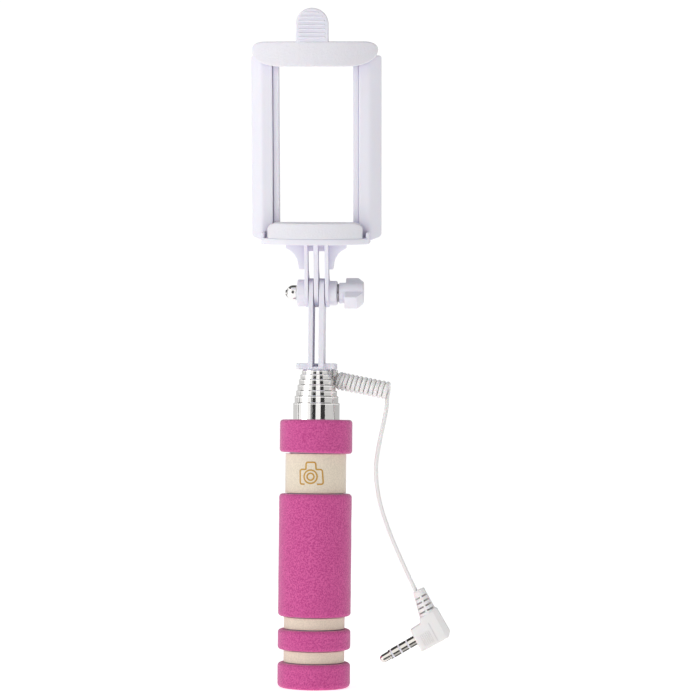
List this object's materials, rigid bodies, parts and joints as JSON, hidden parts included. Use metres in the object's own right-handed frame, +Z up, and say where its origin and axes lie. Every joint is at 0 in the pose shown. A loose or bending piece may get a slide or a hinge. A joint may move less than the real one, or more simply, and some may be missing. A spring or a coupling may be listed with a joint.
{
  "type": "selfie stick",
  "caption": "Short telescopic selfie stick with foam grip, folding spring-clamp phone holder and a curly lead to an angled audio plug.",
  "frame": {"origin": "on the axis of the stick, on the flat end of the handle, which stands on the floor", "axes": "+Z up the stick, -Y the side of the shutter button and of the phone, +X right, along the fold axis towards the knob"},
  "size_m": [0.073, 0.0473, 0.2431],
  "materials": {
    "pink_foam": "matt grainy EVA foam",
    "cream_foam": "matt grainy EVA foam",
    "white_plastic": "satin moulded",
    "grey_plastic": "plain moulded",
    "soft_pad": "fine grained soft pad",
    "white_rubber": "satin flexible moulding",
    "chrome": "polished",
    "nickel": "plated",
    "steel": "plain",
    "brass": "plain",
    "green_board": "coated board"
  },
  "bodies": {
    "handle": {"grip_core": "white_plastic", "foam_end_ring": "pink_foam", "foam_low_band": "cream_foam", "foam_low_ring": "pink_foam", "foam_mid_band": "cream_foam", "foam_main_sleeve": "pink_foam", "foam_button_band": "cream_foam", "foam_top_ring": "pink_foam", "end_plug": "white_plastic", "tube_1": "chrome", "switch_board": "green_board", "dome_switch": "steel", "inner_lead": "white_rubber"},
    "button": {"shutter_button": "white_plastic"},
    "section_2": {"tube_2": "chrome", "guide_2": "grey_plastic"},
    "section_3": {"tube_3": "chrome", "guide_3": "grey_plastic"},
    "section_4": {"tube_4": "chrome", "guide_4": "grey_plastic"},
    "section_5": {"tube_5": "chrome", "guide_5": "grey_plastic"},
    "section_6": {"tube_6": "chrome", "guide_6": "grey_plastic"},
    "section_7": {"tube_7": "chrome", "guide_7": "grey_plastic", "fork_cap": "white_plastic", "cord_gland": "white_rubber", "cord_coil": "white_rubber", "cord_lead": "white_rubber", "strain_relief": "white_rubber", "plug_body": "white_rubber", "plug_sleeve": "nickel", "plug_ring_1": "nickel", "plug_ring_2": "nickel", "plug_tip": "nickel", "plug_insulator": "white_plastic"},
    "holder": {"holder_frame": "white_plastic", "lower_pad": "soft_pad", "rail_cap_left": "white_plastic", "rail_cap_right": "white_plastic", "pivot_bolt": "chrome", "knob_washer": "steel", "spring_left": "steel", "spring_right": "steel"},
    "jaw": {"upper_jaw": "white_plastic", "upper_pad": "soft_pad"},
    "knob": {"fold_knob": "white_plastic", "knob_nut": "brass"}
  },
  "joints": [
    {"name": "section_2_slide", "type": "slide", "parent": "handle", "child": "section_2", "axis": [0, 0, 1], "range_m": [0, 0.079]},
    {"name": "section_3_slide", "type": "slide", "parent": "section_2", "child": "section_3", "axis": [0, 0, 1], "range_m": [0, 0.0775]},
    {"name": "section_4_slide", "type": "slide", "parent": "section_3", "child": "section_4", "axis": [0, 0, 1], "range_m": [0, 0.0755]},
    {"name": "section_5_slide", "type": "slide", "parent": "section_4", "child": "section_5", "axis": [0, 0, 1], "range_m": [0, 0.0736]},
    {"name": "section_6_slide", "type": "slide", "parent": "section_5", "child": "section_6", "axis": [0, 0, 1], "range_m": [0, 0.0716]},
    {"name": "section_7_slide", "type": "slide", "parent": "section_6", "child": "section_7", "axis": [0, 0, 1], "range_m": [0, 0.0694]},
    {"name": "holder_fold", "type": "hinge", "parent": "section_7", "child": "holder", "pos_m": [0, 0, 0.1438], "axis": [1, 0, 0], "range_deg": [-181, 98]},
    {"name": "jaw_slide", "type": "slide", "parent": "holder", "child": "jaw", "axis": [0, -0.1736, 0.9848], "range_m": [0, 0.03], "stiffness_N_per_m": 220, "springref_m": -0.02, "deforming": ["spring_left", "spring_right"]},
    {"name": "knob_turn", "type": "hinge", "parent": "holder", "child": "knob", "pos_m": [0.012, 0, 0.1438], "axis": [1, 0, 0], "range_deg": [0, 270]},
    {"name": "button_press", "type": "slide", "parent": "handle", "child": "button", "axis": [0, 1, 0], "range_m": [0, 0.0003], "stiffness_N_per_m": 3000, "springref_m": -0.0003}
  ]
}
